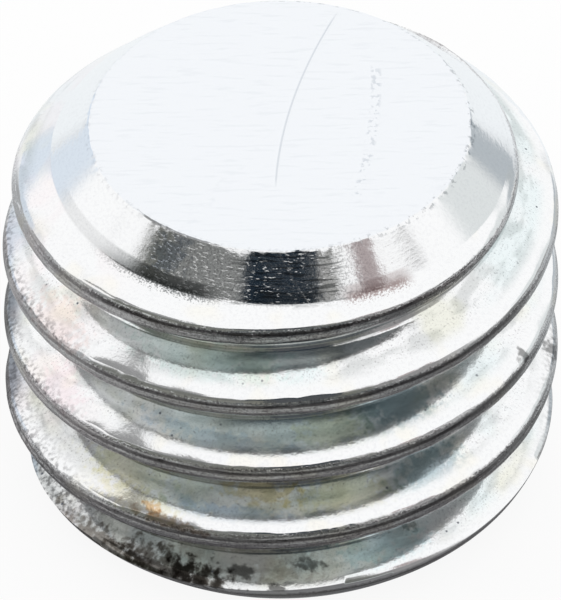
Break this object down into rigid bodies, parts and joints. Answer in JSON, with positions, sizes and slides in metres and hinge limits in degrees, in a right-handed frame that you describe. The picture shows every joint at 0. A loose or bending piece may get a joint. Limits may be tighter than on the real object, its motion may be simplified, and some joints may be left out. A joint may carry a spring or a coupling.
{
  "type": "grub set screw",
  "caption": "Headless set screw with a coarse metric thread, a chamfered flat point and a hexagon socket in the end it stands on.",
  "frame": {"origin": "centre of the socket end face, on which the screw stands", "axes": "+Z along the screw's axis, from the socket end to the flat point"},
  "size_m": [0.0078, 0.0078, 0.006],
  "materials": {
    "zinc_plated_steel": "bright zinc plating over rolled steel, faintly iridescent, with dark marks along the crests and in the roots"
  },
  "bodies": {
    "root": {"set_screw": "zinc_plated_steel"}
  },
  "joints": []
}
